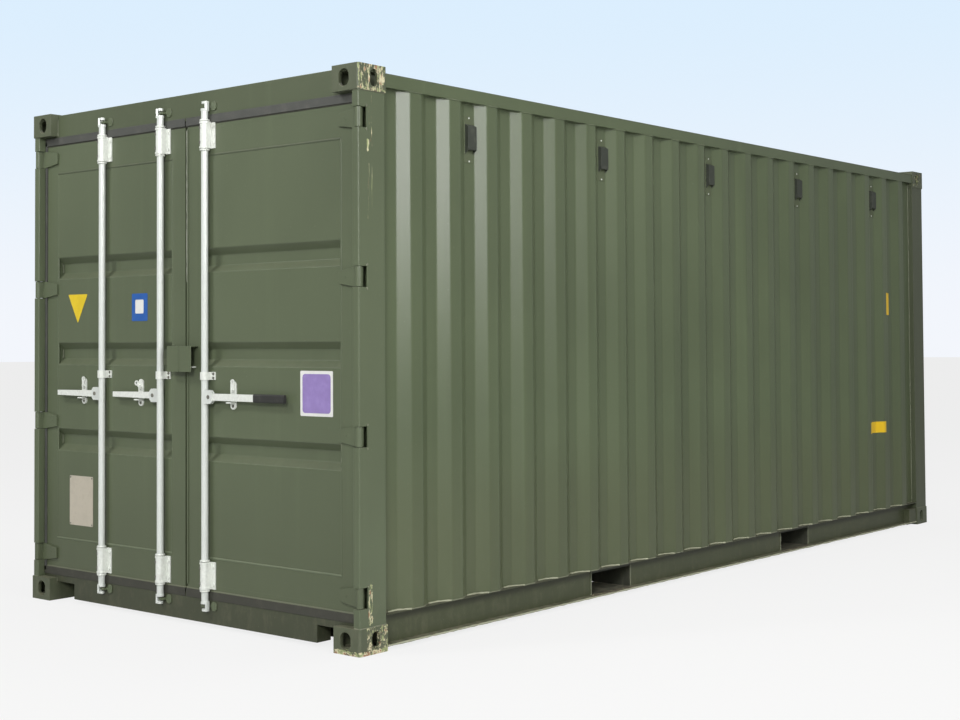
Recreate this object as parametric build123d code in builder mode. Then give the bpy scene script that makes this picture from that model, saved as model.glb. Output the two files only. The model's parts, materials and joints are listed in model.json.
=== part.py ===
import math
import os
from build123d import *

os.makedirs("parts", exist_ok=True)

# A standard twenty-foot steel shipping container, doors closed.
# Length runs along X with the doors at the low end, width along Y, height along Z.
# The origin lies under the middle of the box, level with the feet of the corner castings.

# Overall sizes, over the corner castings
length = 6058.0
width = 2438.0
height = 2591.0

# Corner castings and their lashing holes
casting_length = 178.0
casting_width = 162.0
casting_height = 118.0
casting_plate = 28.0
casting_wall = 20.0
casting_inner_wall = 12.0
casting_bevel = 8.0
slot_centre_x = 102.5
slot_centre_y = 89.5
slot_length = 124.0
slot_width = 63.5
side_hole_width = 51.0
end_hole_width = 63.5
hole_height = 79.0

# The steel skin lies this far inside the casting faces
skin_inset = 6.0

# Round forms that carry no joint have this many sides
small_sides = 12

# Frame levels
rail_bottom = 20.0
wall_bottom = 160.0
roof_drop = 29.0

# Corner posts
post_wall = 6.0
door_post_width = 42.0
door_post_round = 9.0
front_post_width = 104.0
front_post_lip = 47.0

# Door end frame
face_inset = 48.0
header_height = 110.0
header_wall = 4.0
sill_top = 150.0
sill_bottom = 17.0
sill_depth = 88.0
sill_wall = 4.5
notch_width = 150.0
notch_height = 80.0

# Side rails and end rails
top_rail = 60.0
top_rail_wall = 3.0
top_rail_round = 4.0
bottom_flange = 48.0
bottom_lip = 40.0
bottom_wall = 4.5
end_rail_depth = 60.0
end_rail_wall = 3.0
end_block_length = 124.0
end_block_bottom = 8.0
end_block_round = 16.0

# Corrugated side walls
sheet = 1.6
wave_pitch = 278.0
wave_outer = 72.0
wave_slope = 68.0
wave_depth = 36.0
wave_end = 71.0

# Corrugated front wall
front_sheet = 2.0
front_wave_pitch = 250.0
front_wave_outer = 110.0
front_wave_slope = 18.0
front_wave_depth = 45.0
front_wave_end = 61.0

# Roof sheet with pressed ribs
roof_sheet = 2.0
roof_rib_width = 118.0
roof_rib_height = 18.0
roof_rib_taper = 36.0
roof_rib_pitch = 209.0
roof_side_margin = 133.0
roof_end_margin = 75.0

# Floor, cross members and fork pockets
floor_thickness = 28.0
floor_play = 1.0
member_height = 122.0
member_flange = 45.0
member_wall = 4.0
member_pitch = 280.0
pocket_spacing = 2080.0
pocket_width = 360.0
pocket_wall = 6.0
strap_width = 200.0

# Side vents
vent_height = 225.0
vent_width = 70.0
vent_plate = 3.0
vent_drop = 60.0
vent_first = 2
vent_step = 4
hood_height = 150.0
hood_width = 64.0
hood_depth = 26.0
hood_wall = 4.0
hood_mouth = 60.0

# Door leaves
leaf_face = 52.0
leaf_thickness = 50.0
leaf_side_play = 11.0
leaf_gap = 16.0
leaf_end_play = 40.0
stile_width = 100.0
leaf_rail_height = 140.0
frame_tube_wall = 3.0
panel_sheet = 2.0
recess_depth = 36.0
recess_height = 118.0
recess_slope = 34.0
recess_pitch = 455.0
recess_count = 3
recess_lift = 7.0
seal_reach = 6.0
seal_end_play = 6.0
centre_seal_gap = 9.0
seal_thickness = 17.0
seal_depth = 16.0

# Hinges
hinge_count = 4
hinge_inset = 58.0
pin_inset = 22.0
pin_radius = 8.0
pin_clearance = 0.5
barrel_radius = 15.0
blade_height = 88.0
blade_tip_height = 56.0
blade_length = 142.0
blade_thickness = 12.0
hinge_gap = 2.0
notch_depth = 59.0
lug_thickness = 14.0

# Lock bars
bar_radius = 17.0
bar_standoff = 27.0
bar_clearance = 0.8
inner_bar_offset = 168.0
handle_end_margin = 48.0
housing_radius = 22.0
housing_height = 130.0
housing_ring = 10.0
housing_ring_radius = 25.0
low_housing_rise = 58.0
high_housing_drop = 45.0
guide_height = 38.0
guide_level = 1204.0
base_plate = 6.0
base_left = 26.0
base_right = 50.0

# Cams and keepers
low_cam_drop = 47.0
high_cam_rise = 54.0
cam_prong = 12.0
cam_prong_radius = 14.0
cam_socket_radius = 19.0
cam_gap = 5.5
cam_inner = 13.0
cam_outer = 22.0
cam_half_angle = 40.0
keeper_height = 12.0
keeper_nose = 5.0
keeper_plate = 6.0
keeper_plate_height = 44.0
keeper_near = 24.0
keeper_far = 62.0
keeper_bevel = 10.0

# Handles, hubs, retainers and catches
handle_level = 1104.0
handle_plane = 33.0
handle_thickness = 8.0
handle_height = 34.0
handle_tip_gap = 102.0
handle_tip_height = 26.0
rivet_offset = 42.0
rivet_radius = 6.0
hub_height = 66.0
hub_plate = 5.0
hub_reach = 66.0
hub_bevel = 12.0
handle_play = 0.5
right_handle_bar = 430.0
grip_start = 358.0
grip_length = 206.0
grip_height = 40.0
grip_thickness = 18.0
grip_round = 8.0
retainer_offset = 180.0
retainer_width = 40.0
retainer_height = 135.0
retainer_plate = 6.0
retainer_rise = 10.0
shelf_depth = 34.0
shelf_thickness = 6.0
shelf_drop = 5.0
catch_thickness = 6.0
catch_width = 24.0
catch_neck = 16.0
catch_length = 48.0
catch_play = 1.0
catch_pin_radius = 4.0
catch_pin_head = 3.0
catch_pin_rise = 38.0
catch_ring = 13.0
catch_hole = 6.0
catch_open_angle = 55.0

# Lock box, halved at the door gap and open at the bottom and on the right
box_width = 180.0
box_height = 126.0
box_level = 1285.0
box_depth = 50.0
box_gap = 6.0
box_plate = 5.0

# Worked out from the sizes above
half_length = length / 2
half_width = width / 2
skin_x = half_length - skin_inset
skin_y = half_width - skin_inset
post_back = half_length - casting_length
casting_side = half_width - casting_width
under_casting = height - casting_height
frame_top = height - roof_drop
wall_top = frame_top - top_rail
header_bottom = frame_top - header_height
face_x = -half_length + face_inset
header_depth = -post_back - face_x
leaf_x = -half_length + leaf_face
post_inner = skin_y - door_post_width
leaf_edge = post_inner - leaf_side_play
leaf_bottom = sill_top + leaf_end_play
leaf_top = header_bottom - leaf_end_play
panel_inner = leaf_gap / 2 + stile_width
panel_outer = leaf_edge - stile_width
leaf_middle = (leaf_bottom + leaf_top) / 2
pin_x = -half_length + pin_inset
pin_y = half_width - pin_inset
hinge_low = leaf_bottom + hinge_inset
hinge_step = (leaf_top - hinge_inset - hinge_low) / (hinge_count - 1)
hinge_heights = [hinge_low + index * hinge_step for index in range(hinge_count)]
bar_x = leaf_x - bar_standoff
handle_x = leaf_x - handle_plane
bar_spacing = (leaf_edge - handle_end_margin - inner_bar_offset) / 2
handle_length = bar_spacing - handle_tip_gap
bar_places = (("outer_left", inner_bar_offset + bar_spacing, 1),
              ("inner_left", inner_bar_offset, 1),
              ("right", -inner_bar_offset, -1))
housing_levels = (leaf_bottom + low_housing_rise, leaf_top - high_housing_drop)
cam_levels = (sill_top - low_cam_drop, header_bottom + high_cam_rise)
cam_half_gap = keeper_height / 2 + cam_gap
member_top = rail_bottom + member_height
pocket_base = rail_bottom + pocket_wall
pocket_height = member_top - pocket_base - pocket_wall
web_inner = skin_y - bottom_flange
mouth_y = web_inner + bottom_wall
recess_face = skin_y - wave_depth


def save(part, name):
    part.part.label = name
    export_step(part.part, f"parts/{name}.step")


# A disc of few sides, with flats at its front, back and sides
def disc(radius, mode=Mode.ADD):
    RegularPolygon(radius, small_sides, major_radius=False, rotation=180 / small_sides, mode=mode)


# Outlines drawn round such discs: a long hole or plate, and a rounded rectangle
def slot_outline(long_side, short_side, turn=0):
    with BuildSketch() as outline:
        Rectangle(long_side - short_side, short_side)
        with GridLocations(long_side - short_side, 1, 2, 1):
            disc(short_side / 2)
    return outline.sketch.rotate(Axis.Z, turn)


def rounded_section(long_side, short_side, radius):
    with BuildSketch() as section:
        Rectangle(long_side, short_side - 2 * radius)
        Rectangle(long_side - 2 * radius, short_side)
        with GridLocations(long_side - 2 * radius, short_side - 2 * radius, 2, 2):
            disc(radius)
    return section.sketch


# Corner castings: a thick-walled box with a twist-lock slot and a hole in each outer side
def casting(x_side, y_side, low):
    x_mid = x_side * (half_length - casting_length / 2)
    y_mid = y_side * (half_width - casting_width / 2)
    z_mid = casting_height / 2 if low else height - casting_height / 2
    hole_x = x_side * (half_length - slot_centre_x)
    hole_y = y_side * (half_width - slot_centre_y)
    cavity_length = casting_length - casting_wall - casting_inner_wall
    cavity_width = casting_width - casting_wall - casting_inner_wall
    cavity_x = x_side * (half_length - casting_wall - cavity_length / 2)
    cavity_y = y_side * (half_width - casting_wall - cavity_width / 2)
    outward_z = -1 if low else 1
    face_z = 0.0 if low else height
    hole_faces = (
        (Plane((hole_x, y_side * half_width, z_mid), x_dir=(1, 0, 0), z_dir=(0, y_side, 0)),
         side_hole_width),
        (Plane((x_side * half_length, hole_y, z_mid), x_dir=(0, 1, 0), z_dir=(x_side, 0, 0)),
         end_hole_width))
    with BuildPart() as block:
        with Locations((x_mid, y_mid, z_mid)):
            Box(casting_length, casting_width, casting_height)
        corner = block.edges().filter_by(Axis.Z).sort_by(
            lambda edge: x_side * edge.center().X + y_side * edge.center().Y)[-1]
        chamfer(corner, length=casting_bevel)
        with Locations((cavity_x, cavity_y, z_mid)):
            Box(cavity_length, cavity_width, casting_height - 2 * casting_plate, mode=Mode.SUBTRACT)
        with BuildSketch(Plane((hole_x, hole_y, face_z), x_dir=(1, 0, 0), z_dir=(0, 0, outward_z))):
            SlotOverall(slot_length, slot_width)
        extrude(amount=-casting_plate, mode=Mode.SUBTRACT)
        for face, hole_width in hole_faces:
            with BuildSketch(face):
                add(slot_outline(hole_height, hole_width, 90))
            extrude(amount=-casting_wall, mode=Mode.SUBTRACT)
    return block.part


for casting_name, is_low in (("corner_castings_bottom", True), ("corner_castings_top", False)):
    with BuildPart() as castings:
        for x_sign in (-1, 1):
            for y_sign in (-1, 1):
                add(casting(x_sign, y_sign, is_low))
    save(castings, casting_name)


# Door posts, closed sections with a window for every hinge
def hinge_window(y_side):
    window_height = blade_height + 2 * hinge_gap
    y_mid = y_side * (half_width + post_inner) / 2
    with BuildPart() as window:
        for level in hinge_heights:
            with Locations((-half_length + notch_depth / 2, y_mid, level)):
                Box(notch_depth, half_width - post_inner, window_height)
    return window.part


post_height = height - 2 * casting_height
with BuildPart() as door_posts:
    for y_sign in (-1, 1):
        with BuildSketch(Plane.XY.offset(casting_height)):
            with Locations((-(skin_x + post_back) / 2, y_sign * (skin_y + post_inner) / 2)):
                add(rounded_section(skin_x - post_back, door_post_width, door_post_round))
                Rectangle(skin_x - post_back - 2 * post_wall, door_post_width - 2 * post_wall,
                          mode=Mode.SUBTRACT)
        extrude(amount=post_height)
        add(hinge_window(y_sign), mode=Mode.SUBTRACT)
save(door_posts, "door_posts")

# Front posts, pressed angles with inner lips
with BuildPart() as front_posts:
    lip_x = skin_x - front_post_lip
    lip_y = skin_y - front_post_lip
    inner_y = skin_y - front_post_width
    for y_sign in (-1, 1):
        outline = [
            (skin_x, skin_y), (post_back, skin_y), (post_back, lip_y), (post_back + post_wall, lip_y),
            (post_back + post_wall, skin_y - post_wall), (skin_x - post_wall, skin_y - post_wall),
            (skin_x - post_wall, inner_y + post_wall), (lip_x, inner_y + post_wall),
            (lip_x, inner_y), (skin_x, inner_y)]
        with BuildSketch(Plane.XY.offset(casting_height)):
            with BuildLine():
                Polyline([(x, y_sign * y) for x, y in outline], close=True)
            make_face()
        extrude(amount=post_height)
save(front_posts, "front_posts")

# Door header: a box section between the castings with a low tongue under each of them
with BuildPart() as door_header:
    with BuildSketch(Plane.YZ.offset(face_x)):
        with BuildLine():
            Polyline([(-post_inner, header_bottom), (post_inner, header_bottom),
                      (post_inner, under_casting), (casting_side, under_casting),
                      (casting_side, frame_top), (-casting_side, frame_top),
                      (-casting_side, under_casting), (-post_inner, under_casting)], close=True)
        make_face()
    extrude(amount=header_depth)
    with BuildSketch(Plane.YZ.offset(face_x + header_wall)):
        with Locations((0, (header_bottom + frame_top) / 2)):
            Rectangle(2 * (casting_side - header_wall), frame_top - header_bottom - 2 * header_wall)
    extrude(amount=header_depth, mode=Mode.SUBTRACT)
save(door_header, "door_header")

# Door sill: a pressed channel with a handling notch beside each casting
with BuildPart() as door_sill:
    notch_inner = casting_side - notch_width
    notch_top = sill_bottom + notch_height
    with BuildSketch(Plane.YZ.offset(face_x)):
        with BuildLine():
            Polyline([(-notch_inner, sill_bottom), (notch_inner, sill_bottom),
                      (notch_inner, notch_top), (casting_side, notch_top),
                      (casting_side, casting_height), (post_inner, casting_height),
                      (post_inner, sill_top), (-post_inner, sill_top),
                      (-post_inner, casting_height), (-casting_side, casting_height),
                      (-casting_side, notch_top), (-notch_inner, notch_top)], close=True)
        make_face()
    extrude(amount=sill_depth)
    with BuildSketch(Plane.YZ.offset(face_x + sill_wall)):
        with Locations((0, (sill_bottom + sill_top) / 2)):
            Rectangle(2 * (notch_inner - sill_wall), sill_top - sill_bottom - 2 * sill_wall)
        for y_sign in (-1, 1):
            with Locations((y_sign * (notch_inner + casting_side) / 2, (notch_top + sill_top) / 2)):
                Rectangle(notch_width, sill_top - notch_top - 2 * sill_wall)
    extrude(amount=sill_depth, mode=Mode.SUBTRACT)
save(door_sill, "door_sill")

# Top side rails, square tubes between the top castings
with BuildPart() as top_side_rails:
    for y_sign in (-1, 1):
        with BuildSketch(Plane.YZ.offset(-post_back)):
            with Locations((y_sign * (skin_y - top_rail / 2), frame_top - top_rail / 2)):
                add(rounded_section(top_rail, top_rail, top_rail_round))
                Rectangle(top_rail - 2 * top_rail_wall, top_rail - 2 * top_rail_wall,
                          mode=Mode.SUBTRACT)
        extrude(amount=2 * post_back)
save(top_side_rails, "top_side_rails")

# Bottom side rails: channel lengths between the fork pockets, boxed where they meet the front castings
pocket_half = pocket_width / 2 + pocket_wall
rail_spans = ((-post_back, -pocket_spacing / 2 - pocket_half),
              (-pocket_spacing / 2 + pocket_half, pocket_spacing / 2 - pocket_half),
              (pocket_spacing / 2 + pocket_half, post_back))
with BuildPart() as bottom_side_rails:
    for y_sign in (-1, 1):
        section = [
            (skin_y, wall_bottom), (web_inner, wall_bottom), (web_inner, rail_bottom),
            (web_inner + bottom_lip, rail_bottom), (web_inner + bottom_lip, rail_bottom + bottom_wall),
            (web_inner + bottom_wall, rail_bottom + bottom_wall),
            (web_inner + bottom_wall, wall_bottom - bottom_wall), (skin_y, wall_bottom - bottom_wall)]
        for span_start, span_end in rail_spans:
            with BuildSketch(Plane.YZ.offset(span_start)):
                with BuildLine():
                    Polyline([(y_sign * y, z) for y, z in section], close=True)
                make_face()
            extrude(amount=span_end - span_start)
        with BuildSketch(Plane.YZ.offset(post_back - end_block_length)):
            with BuildLine():
                Polyline([(y_sign * y, z) for y, z in (
                    (web_inner, end_block_bottom), (skin_y - end_block_round, end_block_bottom),
                    (skin_y, end_block_bottom + end_block_round), (skin_y, casting_height),
                    (web_inner, casting_height))], close=True)
            make_face()
        extrude(amount=end_block_length)
save(bottom_side_rails, "bottom_side_rails")


# Corrugated sheets: a ribbon of outer and inner flats with slopes between them
def wave_sheet(first, last, end_flat, pitch, outer, slope, depth, outer_face, thickness):
    run = last - first - 2 * end_flat
    count = round(run / pitch)
    step = run / count
    inner = step - outer - 2 * slope
    top = [(first, outer_face - depth)]
    for index in range(count):
        at = first + end_flat + inner / 2 + index * step
        top += [(at, outer_face - depth), (at + slope, outer_face),
                (at + slope + outer, outer_face), (at + 2 * slope + outer, outer_face - depth)]
    top.append((last, outer_face - depth))
    return top + [(x, y - thickness) for x, y in reversed(top)], count, step


side_wave, wave_count, wave_step = wave_sheet(
    -post_back, post_back, wave_end, wave_pitch, wave_outer, wave_slope, wave_depth, skin_y, sheet)
for wall_name, y_sign in (("left_wall", 1), ("right_wall", -1)):
    with BuildPart() as side_wall:
        with BuildSketch(Plane.XY.offset(wall_bottom)):
            with BuildLine():
                Polyline([(x, y_sign * y) for x, y in side_wave], close=True)
            make_face()
        extrude(amount=wall_top - wall_bottom)
    save(side_wall, wall_name)

# Front wall between the front posts
front_wave, _, _ = wave_sheet(
    -inner_y, inner_y, front_wave_end, front_wave_pitch, front_wave_outer, front_wave_slope,
    front_wave_depth, skin_x, front_sheet)
with BuildPart() as front_wall:
    with BuildSketch(Plane.XY.offset(wall_bottom)):
        with BuildLine():
            Polyline([(x, y) for y, x in front_wave], close=True)
        make_face()
    extrude(amount=under_casting - wall_bottom)
save(front_wall, "front_wall")

# Front top rail: a box with a flange back to the roof sheet
with BuildPart() as front_top_rail:
    with BuildSketch(Plane.XZ.offset(-casting_side)):
        with Locations((skin_x - end_rail_depth / 2, (under_casting + frame_top) / 2)):
            Rectangle(end_rail_depth, frame_top - under_casting)
        with Locations(((post_back + skin_x) / 2, frame_top - end_rail_wall / 2)):
            Rectangle(skin_x - post_back, end_rail_wall)
        with Locations((skin_x - end_rail_depth / 2, (under_casting + frame_top) / 2)):
            Rectangle(end_rail_depth - 2 * end_rail_wall,
                      frame_top - under_casting - 2 * end_rail_wall, mode=Mode.SUBTRACT)
    extrude(amount=2 * casting_side)
save(front_top_rail, "front_top_rail")

with BuildPart() as front_bottom_rail:
    with BuildSketch(Plane.XZ.offset(-casting_side)):
        with Locations((skin_x - end_rail_depth / 2, (rail_bottom + wall_bottom) / 2)):
            Rectangle(end_rail_depth, wall_bottom - rail_bottom)
            Rectangle(end_rail_depth - 2 * end_rail_wall,
                      wall_bottom - rail_bottom - 2 * end_rail_wall, mode=Mode.SUBTRACT)
    extrude(amount=2 * casting_side)
save(front_bottom_rail, "front_bottom_rail")

# Roof: one sheet between the end rails, with pressed cross ribs
rib_count = int((2 * post_back - 2 * roof_end_margin - roof_rib_width) / roof_rib_pitch) + 1
with BuildPart() as roof:
    with BuildSketch(Plane.XY.offset(frame_top)):
        Rectangle(2 * post_back, 2 * skin_y)
    extrude(amount=roof_sheet)
    for base, mode in ((frame_top + roof_sheet, Mode.ADD), (frame_top, Mode.SUBTRACT)):
        with BuildSketch(Plane.XY.offset(base)):
            with GridLocations(roof_rib_pitch, 1, rib_count, 1):
                Rectangle(roof_rib_width, 2 * (skin_y - roof_side_margin))
        extrude(amount=roof_rib_height, taper=roof_rib_taper, mode=mode)
save(roof, "roof")

# Plywood floor on the cross members
floor_start = face_x + sill_depth
floor_end = skin_x - end_rail_depth
with BuildPart() as floor:
    with BuildSketch(Plane.XY.offset(member_top)):
        with Locations(((floor_start + floor_end) / 2, 0)):
            Rectangle(floor_end - floor_start, 2 * (web_inner - floor_play))
    extrude(amount=floor_thickness)
save(floor, "floor")

# Cross members, with the side plates of the fork pockets where those run
member_places = []
at_x = -post_back + member_wall
while at_x < post_back - member_flange:
    member_mid = at_x + member_flange / 2
    if min(abs(member_mid - s * pocket_spacing / 2) for s in (-1, 1)) > pocket_half + member_flange:
        member_places.append(at_x)
    at_x += member_pitch
member_section = [
    (0, 0), (member_flange, 0), (member_flange, member_wall), (member_wall, member_wall),
    (member_wall, member_height - member_wall), (member_flange, member_height - member_wall),
    (member_flange, member_height), (0, member_height)]
with BuildPart() as cross_members:
    for place in member_places:
        with BuildSketch(Plane.XZ.offset(-web_inner)):
            with BuildLine():
                Polyline([(place + x, rail_bottom + z) for x, z in member_section], close=True)
            make_face()
        extrude(amount=2 * web_inner)
    for x_sign in (-1, 1):
        with Locations((x_sign * pocket_spacing / 2, 0, pocket_base + pocket_height / 2)):
            with GridLocations(pocket_width + pocket_wall, 1, 2, 1):
                Box(pocket_wall, 2 * mouth_y, pocket_height)
save(cross_members, "cross_members")

# Fork pockets: a top plate right across with a lintel over each mouth, and a strap under it
with BuildPart() as fork_pockets:
    for x_sign in (-1, 1):
        pocket_x = x_sign * pocket_spacing / 2
        with BuildSketch(Plane.YZ.offset(pocket_x - pocket_half)):
            with BuildLine():
                Polyline([(-skin_y, wall_bottom), (-skin_y, wall_bottom - bottom_wall),
                          (-mouth_y, wall_bottom - bottom_wall), (-mouth_y, member_top - pocket_wall),
                          (mouth_y, member_top - pocket_wall), (mouth_y, wall_bottom - bottom_wall),
                          (skin_y, wall_bottom - bottom_wall), (skin_y, wall_bottom),
                          (web_inner, wall_bottom), (web_inner, member_top),
                          (-web_inner, member_top), (-web_inner, wall_bottom)], close=True)
            make_face()
        extrude(amount=2 * pocket_half)
        for y_sign in (-1, 1):
            strap_y = y_sign * (mouth_y - strap_width / 2)
            with Locations((pocket_x, strap_y, pocket_base - pocket_wall / 2)):
                Box(2 * pocket_half, strap_width, pocket_wall)
save(fork_pockets, "fork_pockets")

# Side vents: a riveted plate with a hollow hood, open below, in every fourth recess
vent_z = wall_top - vent_drop - vent_height / 2
hood_low = vent_z - hood_height / 2
hood_high = vent_z + hood_height / 2
for vent_name, y_sign in (("left_vents", 1), ("right_vents", -1)):
    with BuildPart() as vents:
        for index in range(vent_first, wave_count + 1, vent_step):
            vent_x = -post_back + wave_end + index * wave_step
            with Locations((vent_x, y_sign * (recess_face + vent_plate / 2), vent_z)):
                Box(vent_width, vent_plate, vent_height)
            hood_front = recess_face + hood_depth
            with BuildSketch(Plane.YZ.offset(vent_x - hood_width / 2)):
                with BuildLine():
                    Polyline([(y_sign * recess_face, hood_low), (y_sign * hood_front, hood_low + hood_depth),
                              (y_sign * hood_front, hood_high - hood_depth / 2),
                              (y_sign * recess_face, hood_high)], close=True)
                make_face()
            extrude(amount=hood_width)
            with BuildSketch(Plane.YZ.offset(vent_x - hood_width / 2 + hood_wall)):
                with BuildLine():
                    Polyline([(y_sign * (recess_face + vent_plate), hood_low),
                              (y_sign * (hood_front - hood_wall), hood_low),
                              (y_sign * (hood_front - hood_wall), hood_low + hood_mouth),
                              (y_sign * (recess_face + vent_plate), hood_low + hood_mouth)], close=True)
                make_face()
            extrude(amount=hood_width - 2 * hood_wall, mode=Mode.SUBTRACT)
    save(vents, vent_name)

# Hinge lugs above and below each blade, with the pin between them
with BuildPart() as hinge_lugs:
    lug_front = -skin_x + post_wall
    lug_back = -half_length + notch_depth
    half_window = blade_height / 2 + hinge_gap
    for y_sign in (-1, 1):
        for level in hinge_heights:
            for z_sign in (-1, 1):
                lug_z = level + z_sign * (half_window + lug_thickness / 2)
                with Locations(((lug_front + lug_back) / 2, y_sign * (skin_y + post_inner) / 2, lug_z)):
                    Box(lug_back - lug_front, door_post_width - 2 * post_wall, lug_thickness)
            with Locations((pin_x, y_sign * pin_y, level)):
                Cylinder(pin_radius, 2 * half_window)
save(hinge_lugs, "hinge_lugs")

# Keepers: a plate on the header or sill with a tab that each cam closes round
with BuildPart() as keepers:
    for _, bar_y, side in bar_places:
        for level in cam_levels:
            with BuildSketch(Plane.YZ.offset(face_x)):
                with Locations((bar_y - (keeper_near + keeper_far) / 2, level)):
                    plate = Rectangle(keeper_far - keeper_near, keeper_plate_height)
                    chamfer(plate.vertices(), length=keeper_bevel)
            extrude(amount=-keeper_plate)
            strap_end = bar_y - min(side, 0) * keeper_near
            strap_length = strap_end - bar_y + keeper_far
            with Locations((face_x - keeper_plate / 2, strap_end - strap_length / 2, level)):
                Box(keeper_plate, strap_length, keeper_height)
            tab_depth = face_x - bar_x + keeper_nose
            tab_length = keeper_nose + keeper_near
            with Locations((face_x - tab_depth / 2, bar_y + side * (keeper_nose - tab_length / 2), level)):
                Box(tab_depth, tab_length, keeper_height)
save(keepers, "keepers")


# Door leaves, mirrored about the middle of the box: a tube frame, a pressed panel and a seal
def leaf_frame(y_side):
    mid_y = y_side * (leaf_gap / 2 + leaf_edge) / 2
    with BuildPart() as frame:
        with BuildSketch(Plane.YZ.offset(leaf_x)):
            with Locations((mid_y, leaf_middle)):
                Rectangle(leaf_edge - leaf_gap / 2, leaf_top - leaf_bottom)
                Rectangle(panel_outer - panel_inner, leaf_top - leaf_bottom - 2 * leaf_rail_height,
                          mode=Mode.SUBTRACT)
        extrude(amount=leaf_thickness)
    return frame


def leaf_panel(y_side):
    front = [(leaf_x, leaf_bottom + leaf_rail_height)]
    for index in range(recess_count):
        centre = leaf_middle + recess_lift + (index - (recess_count - 1) / 2) * recess_pitch
        low, high = centre - recess_height / 2, centre + recess_height / 2
        front += [(leaf_x, low), (leaf_x + recess_depth, low + recess_slope),
                  (leaf_x + recess_depth, high - recess_slope), (leaf_x, high)]
    front.append((leaf_x, leaf_top - leaf_rail_height))
    back = [(x + panel_sheet, z) for x, z in reversed(front)]
    with BuildPart() as panel:
        with BuildSketch(Plane.XZ.offset(-y_side * panel_inner)):
            with BuildLine():
                Polyline(front + back, close=True)
            make_face()
        extrude(amount=-y_side * (panel_outer - panel_inner))
    return panel


def leaf_seal(y_side):
    inner_y = centre_seal_gap / 2
    outer_y = leaf_edge + seal_reach
    with BuildPart() as seal:
        with BuildSketch(Plane.YZ.offset(leaf_x + seal_depth)):
            with Locations((y_side * (inner_y + outer_y) / 2, leaf_middle)):
                Rectangle(outer_y - inner_y, header_bottom - sill_top - 2 * seal_end_play)
            with Locations((y_side * (leaf_gap / 2 + leaf_edge) / 2, leaf_middle)):
                Rectangle(leaf_edge - leaf_gap / 2, leaf_top - leaf_bottom, mode=Mode.SUBTRACT)
        extrude(amount=seal_thickness)
    return seal


def hinge_blades(y_side):
    blade_end = pin_y - blade_length
    with BuildPart() as blades:
        for level in hinge_heights:
            with BuildSketch(Plane.YZ.offset(leaf_x)):
                with BuildLine():
                    Polyline([(y_side * pin_y, level - blade_height / 2),
                              (y_side * pin_y, level + blade_height / 2),
                              (y_side * leaf_edge, level + blade_height / 2),
                              (y_side * blade_end, level + blade_tip_height / 2),
                              (y_side * blade_end, level - blade_tip_height / 2),
                              (y_side * leaf_edge, level - blade_height / 2)], close=True)
                make_face()
            extrude(amount=-blade_thickness)
            with BuildSketch(Plane.XY.offset(level - blade_height / 2)):
                with Locations((pin_x, y_side * pin_y)):
                    disc(barrel_radius)
                with Locations(((pin_x + leaf_x) / 2, y_side * (pin_y - barrel_radius / 2))):
                    Rectangle(leaf_x - pin_x, barrel_radius)
                with Locations((pin_x, y_side * pin_y)):
                    disc(pin_radius + pin_clearance, Mode.SUBTRACT)
            extrude(amount=blade_height)
    return blades


# Bar brackets: a base plate with a housing round the bar, and flanged bushes at the long ones
def bar_bracket(bar_y, level, tall, ring):
    with BuildPart() as bracket:
        plate_y = bar_y + (base_left - base_right) / 2
        with Locations((leaf_x - base_plate / 2, plate_y, level)):
            Box(base_plate, base_left + base_right, tall)
        with BuildSketch(Plane.XY.offset(level - tall / 2)):
            with Locations((bar_x, bar_y)):
                disc(housing_radius)
            with Locations(((bar_x + leaf_x) / 2, bar_y)):
                Rectangle(leaf_x - bar_x, 2 * housing_radius)
        extrude(amount=tall)
        if ring:
            for start in (level - tall / 2, level + tall / 2 - housing_ring):
                with BuildSketch(Plane.XY.offset(start)):
                    with Locations((bar_x, bar_y)):
                        disc(housing_ring_radius)
                extrude(amount=housing_ring)
        with BuildSketch(Plane.XY.offset(level - tall / 2)):
            with Locations((bar_x, bar_y)):
                disc(bar_radius + bar_clearance)
        extrude(amount=tall, mode=Mode.SUBTRACT)
    return bracket.part


def door_brackets(places):
    with BuildPart() as brackets:
        for bar_y in places:
            for level in housing_levels:
                add(bar_bracket(bar_y, level, housing_height, True))
            add(bar_bracket(bar_y, guide_level, guide_height, False))
    return brackets


def lock_box(y_side):
    inner_y = box_gap / 2
    outer_y = box_width / 2
    mid_y = y_side * (inner_y + outer_y) / 2
    hollow_depth = box_depth - box_plate
    side_plate = box_plate if y_side > 0 else 0
    with BuildPart() as box:
        with Locations((leaf_x - box_depth / 2, mid_y, box_level)):
            Box(box_depth, outer_y - inner_y, box_height)
        with Locations((leaf_x - hollow_depth / 2, mid_y - side_plate, box_level - box_plate)):
            Box(hollow_depth, outer_y - inner_y, box_height, mode=Mode.SUBTRACT)
    return box


def handle_retainers(places):
    with BuildPart() as retainers:
        for bar_y, side in places:
            centre = bar_y + side * retainer_offset
            with BuildSketch(Plane.YZ.offset(leaf_x)):
                with Locations((centre, handle_level + retainer_rise)):
                    add(slot_outline(retainer_height, retainer_width, 90))
            extrude(amount=-retainer_plate)
            shelf_z = handle_level - handle_height / 2 - shelf_drop - shelf_thickness / 2
            with Locations((leaf_x - shelf_depth / 2, centre, shelf_z)):
                Box(shelf_depth, retainer_width, shelf_thickness)
            pin_length = retainer_plate + catch_play + catch_thickness + catch_pin_head
            pin_place = (leaf_x - pin_length / 2, centre, handle_level + catch_pin_rise)
            with Locations(Location(pin_place, (0, 90, 0))):
                Cylinder(catch_pin_radius, pin_length)
    return retainers


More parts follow.
